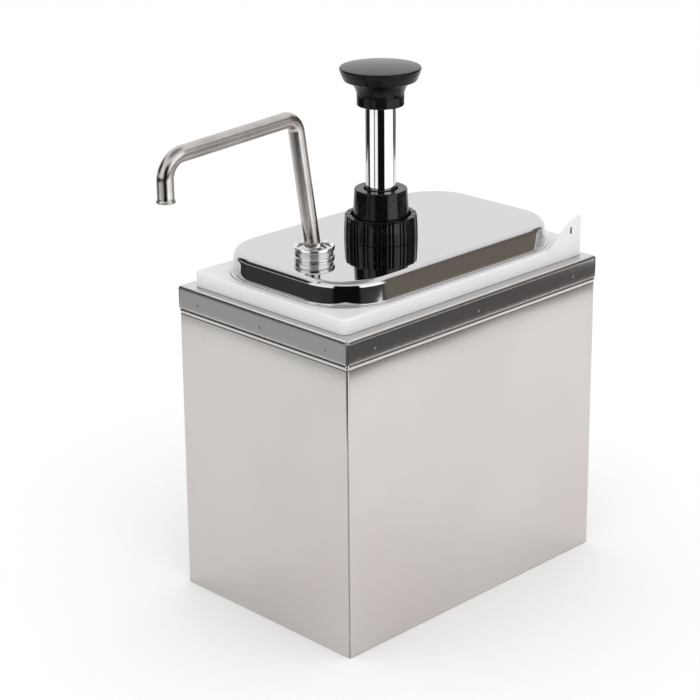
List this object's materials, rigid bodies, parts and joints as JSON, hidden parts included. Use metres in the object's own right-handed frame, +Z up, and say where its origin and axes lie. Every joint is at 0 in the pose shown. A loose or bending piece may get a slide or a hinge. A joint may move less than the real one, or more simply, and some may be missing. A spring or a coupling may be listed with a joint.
{
  "type": "condiment pump dispenser",
  "caption": "Countertop sauce dispenser: steel case, lift-out plastic tub, polished lid and spring-return hand pump with a bent spout.",
  "frame": {"origin": "centre of the case's bottom face", "axes": "+Z up, -Y towards the spout and the case's narrow front, +X towards the case's long right side"},
  "size_m": [0.1324, 0.2666, 0.2986],
  "materials": {
    "case_steel": "satin",
    "frame_steel": "satin",
    "lid_steel": "polished",
    "spout_steel": "satin",
    "chrome_plate": "polished",
    "tub_plastic": "satin",
    "black_plastic": "gloss",
    "white_plastic": "matte",
    "seal_rubber": "matte",
    "spring_steel": "satin",
    "brass": "satin"
  },
  "bodies": {
    "case": {"case_wrap": "case_steel", "case_floor": "case_steel", "top_frame": "frame_steel"},
    "tub": {"tub": "tub_plastic"},
    "lid_and_pump": {"lid_cover": "lid_steel", "lid_gasket": "seal_rubber", "pump_head": "black_plastic", "guide_bush": "white_plastic", "wiper_seal": "seal_rubber", "cylinder": "case_steel", "cylinder_seal": "seal_rubber", "spring_seat": "spring_steel", "return_spring": "spring_steel", "valve_body": "white_plastic", "inlet_seat": "seal_rubber", "ball_cage": "white_plastic", "outlet_elbow": "white_plastic", "elbow_seal": "seal_rubber", "riser_bush": "seal_rubber", "riser_nut": "spring_steel", "riser_tube": "spout_steel", "gland_body": "chrome_plate", "gland_washer": "seal_rubber", "gland_backnut": "chrome_plate", "foot_seal": "seal_rubber"},
    "plunger": {"knob": "black_plastic", "knob_insert": "brass", "plunger_tube": "chrome_plate", "tube_plug": "white_plastic", "piston_rod": "spring_steel", "rod_nut": "spring_steel", "piston_washer": "spring_steel", "piston": "white_plastic", "piston_seal": "seal_rubber", "piston_nut": "spring_steel"},
    "lock_nut": {"lock_nut": "black_plastic"},
    "gland_nut": {"gland_nut": "chrome_plate"},
    "spout": {"discharge_tube": "spout_steel", "tube_foot": "spout_steel"},
    "inlet_ball": {"inlet_ball": "spring_steel"},
    "outlet_ball": {"outlet_ball": "spring_steel"}
  },
  "joints": [
    {"name": "tub_lift_out", "type": "slide", "parent": "case", "child": "tub", "axis": [0, 0, 1], "range_m": [0, 0.175]},
    {"name": "lid_lift_off", "type": "slide", "parent": "tub", "child": "lid_and_pump", "axis": [0, 0, 1], "range_m": [0, 0.19]},
    {"name": "plunger_press", "type": "slide", "parent": "lid_and_pump", "child": "plunger", "axis": [0, 0, -1], "range_m": [0, 0.045], "stiffness_N_per_m": 400, "springref_m": -0.025, "deforming": ["return_spring"]},
    {"name": "lock_nut_turn", "type": "hinge", "parent": "lid_and_pump", "child": "lock_nut", "pos_m": [0, -0.008, 0.208], "axis": [0, 0, 1], "range_deg": [0, 90]},
    {"name": "gland_nut_turn", "type": "hinge", "parent": "lid_and_pump", "child": "gland_nut", "pos_m": [0, -0.0594, 0.205], "axis": [0, 0, 1], "range_deg": [0, 90]},
    {"name": "spout_swivel", "type": "hinge", "parent": "lid_and_pump", "child": "spout", "pos_m": [0, -0.0594, 0.206], "axis": [0, 0, 1], "range_deg": [-90, 90]},
    {"name": "inlet_ball_lift", "type": "slide", "parent": "lid_and_pump", "child": "inlet_ball", "axis": [0, 0, 1], "range_m": [0, 0.0035]},
    {"name": "outlet_ball_lift", "type": "slide", "parent": "lid_and_pump", "child": "outlet_ball", "axis": [0, 0, 1], "range_m": [0, 0.003]}
  ]
}
